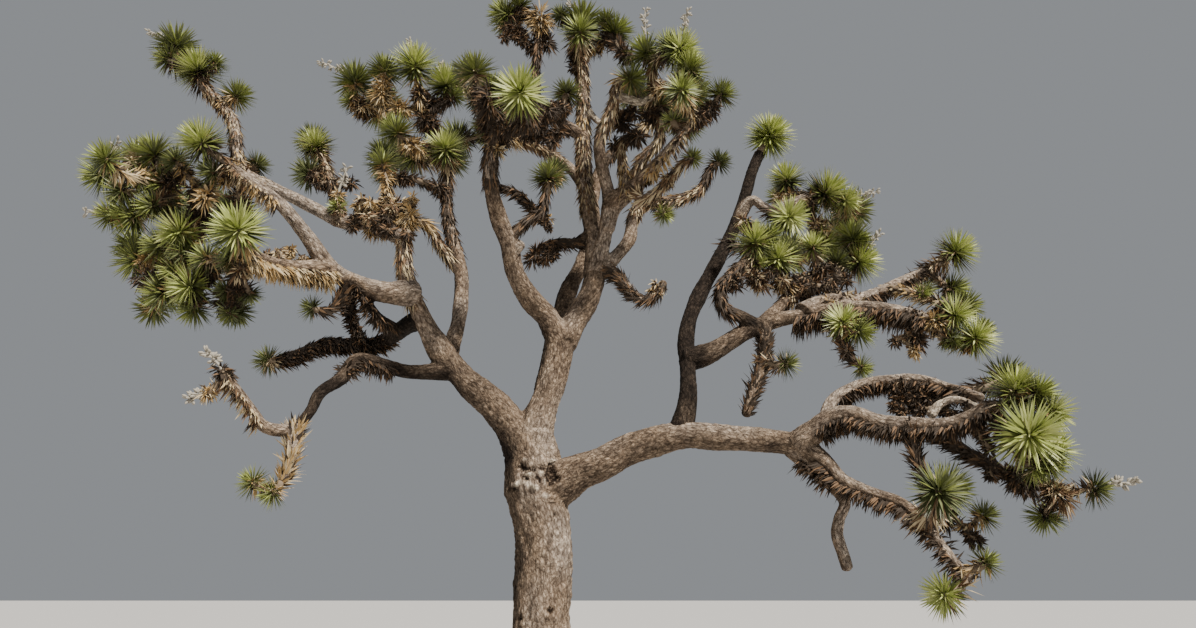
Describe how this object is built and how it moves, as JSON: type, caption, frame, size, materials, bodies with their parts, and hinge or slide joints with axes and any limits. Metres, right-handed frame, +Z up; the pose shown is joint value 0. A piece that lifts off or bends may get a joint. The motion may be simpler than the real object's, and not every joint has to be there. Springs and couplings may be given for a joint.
{
  "type": "joshua tree",
  "caption": "Spreading desert yucca tree: a bare trunk that forks low into crooked boughs, with rosettes of dagger leaves and skirts of dead leaves at their ends.",
  "frame": {"origin": "middle of the trunk's flat cut at ground level", "axes": "+X to the right of someone facing the side in the picture, -Y towards them, +Z up"},
  "size_m": [8.6275, 4.2728, 7.7209],
  "materials": {
    "bark": "rough grey-brown plated bark",
    "green_leaves": "stiff waxy green leaves",
    "dead_leaves": "dry matt straw-brown leaves"
  },
  "bodies": {
    "root": {"trunk": "bark", "left_bough": "bark", "left_shoulder": "bark", "left_upright": "bark", "left_arm": "bark", "left_arm_lower": "bark", "left_reach": "bark", "lower_left": "bark", "hook_riser": "bark", "shaded_bough": "bark", "centre_bough": "bark", "centre_left": "bark", "centre_right": "bark", "centre_column": "bark", "centre_inner": "bark", "centre_outer": "bark", "centre_lean": "bark", "right_bough": "bark", "right_upright": "bark", "right_shelf": "bark", "right_shelf_riser": "bark", "right_upper_tip": "bark", "hanging_branch": "bark", "right_fork": "bark", "right_arch": "bark", "right_fork_tail": "bark", "right_drop": "bark", "right_sweep": "bark", "rear_bough": "bark", "rear_left": "bark", "rear_right": "bark", "top_left_mass": "green_leaves", "left_upper_mass": "green_leaves", "left_far_mass": "green_leaves", "left_bright_mass": "green_leaves", "left_middle_mass": "green_leaves", "left_bottom_mass": "green_leaves", "left_rear_mass": "green_leaves", "left_pair_mass": "green_leaves", "left_crown_middle_mass": "green_leaves", "left_crown_top_mass": "green_leaves", "centre_left_mass": "green_leaves", "centre_top_left_mass": "green_leaves", "centre_top_mass": "green_leaves", "centre_inner_mass": "green_leaves", "centre_outer_mass": "green_leaves", "rear_left_mass": "green_leaves", "rear_right_mass": "green_leaves", "right_upright_mass": "green_leaves", "right_crown_left_mass": "green_leaves", "right_crown_mass": "green_leaves", "right_far_upper_mass": "green_leaves", "right_far_lower_mass": "green_leaves", "right_under_mass": "green_leaves", "right_end_mass": "green_leaves", "right_hanging_mass": "green_leaves", "right_low_mass": "green_leaves", "stub_mass": "green_leaves", "left_hub_mass": "dead_leaves", "right_brown_mass": "dead_leaves"}
  },
  "joints": []
}
